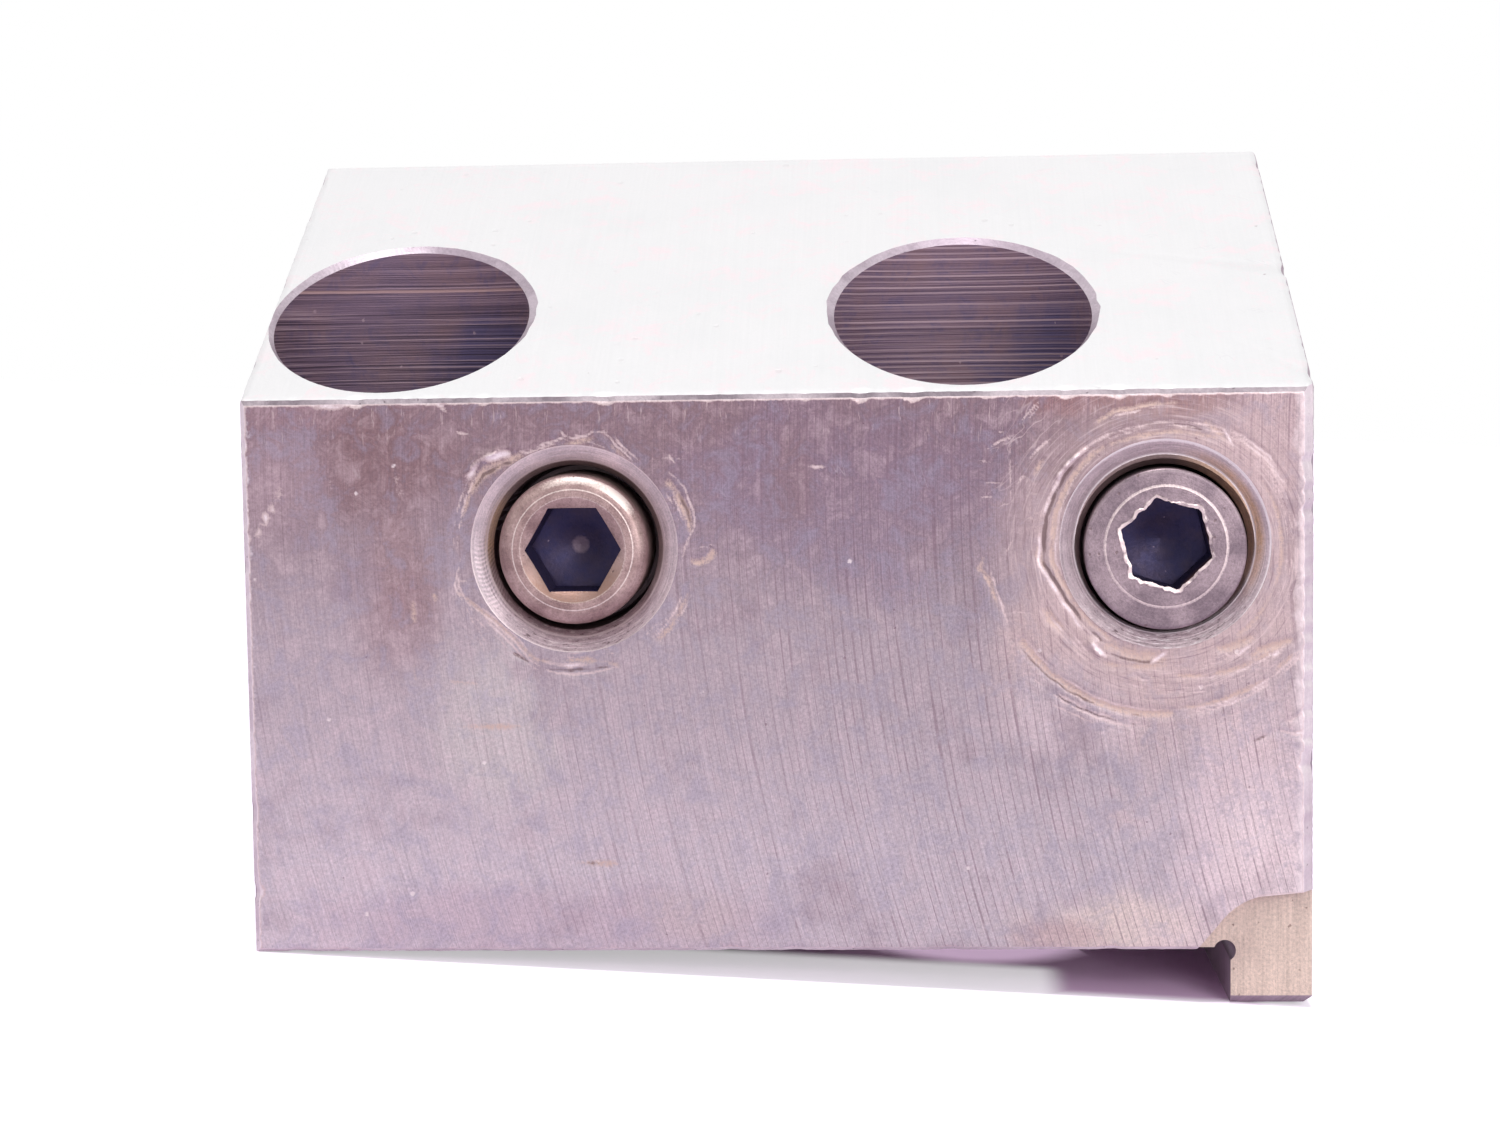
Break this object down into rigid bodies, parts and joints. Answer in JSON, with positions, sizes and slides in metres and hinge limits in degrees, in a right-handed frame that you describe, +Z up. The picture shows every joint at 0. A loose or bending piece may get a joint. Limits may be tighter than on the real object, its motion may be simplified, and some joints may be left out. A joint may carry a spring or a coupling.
{
  "type": "boring bar holder",
  "caption": "Steel boring bar holder block with a sloping top, upright bar bores, a locating lip under one end and a screw-drawn split plug clamp beside each bore.",
  "frame": {"origin": "middle of the seat face, at half the width and half the depth of the block", "axes": "+X along the block to the lip end, +Y from the front face, where the screw heads are, to the back, +Z up along the bar bores"},
  "size_m": [0.1016, 0.0457, 0.0832],
  "materials": {
    "block_steel": "milled steel, dulled by a thin mauve oxide, with bright worn edges",
    "left_screw_steel": "worn bright steel with a dark socket",
    "right_screw_steel": "turned steel, dulled, with a bright burr round the socket",
    "plug_steel": "turned steel, oiled and dark"
  },
  "bodies": {
    "block": {"block": "block_steel"},
    "left_front_plug": {"left_front_plug": "plug_steel"},
    "left_screw": {"left_cap_screw": "left_screw_steel"},
    "left_rear_plug": {"left_rear_plug": "plug_steel"},
    "right_front_plug": {"right_front_plug": "plug_steel"},
    "right_screw": {"right_cap_screw": "right_screw_steel"},
    "right_rear_plug": {"right_rear_plug": "plug_steel"}
  },
  "joints": [
    {"name": "left_front_plug_slide", "type": "slide", "parent": "block", "child": "left_front_plug", "axis": [0, 1, 0], "range_m": [-0.002, 0.00045]},
    {"name": "left_rear_plug_slide", "type": "slide", "parent": "block", "child": "left_rear_plug", "axis": [0, -1, 0], "range_m": [-0.002, 0.00045]},
    {"name": "left_screw_turn", "type": "hinge", "parent": "left_front_plug", "child": "left_screw", "pos_m": [-0.01896, 0, 0.03885], "axis": [0, 1, 0], "range_deg": [-720, 158]},
    {"name": "right_front_plug_slide", "type": "slide", "parent": "block", "child": "right_front_plug", "axis": [0, 1, 0], "range_m": [-0.002, 0.00045]},
    {"name": "right_rear_plug_slide", "type": "slide", "parent": "block", "child": "right_rear_plug", "axis": [0, -1, 0], "range_m": [-0.002, 0.00045]},
    {"name": "right_screw_turn", "type": "hinge", "parent": "right_front_plug", "child": "right_screw", "pos_m": [0.03686, 0, 0.0383], "axis": [0, 1, 0], "range_deg": [-720, 158]}
  ],
  "couplings": [
    {"joint": "left_front_plug_slide", "follows": "left_screw_turn", "m_per_rad": 0.00012633},
    {"joint": "left_rear_plug_slide", "follows": "left_screw_turn", "m_per_rad": 0.00012633},
    {"joint": "right_front_plug_slide", "follows": "right_screw_turn", "m_per_rad": 0.00012633},
    {"joint": "right_rear_plug_slide", "follows": "right_screw_turn", "m_per_rad": 0.00012633}
  ]
}
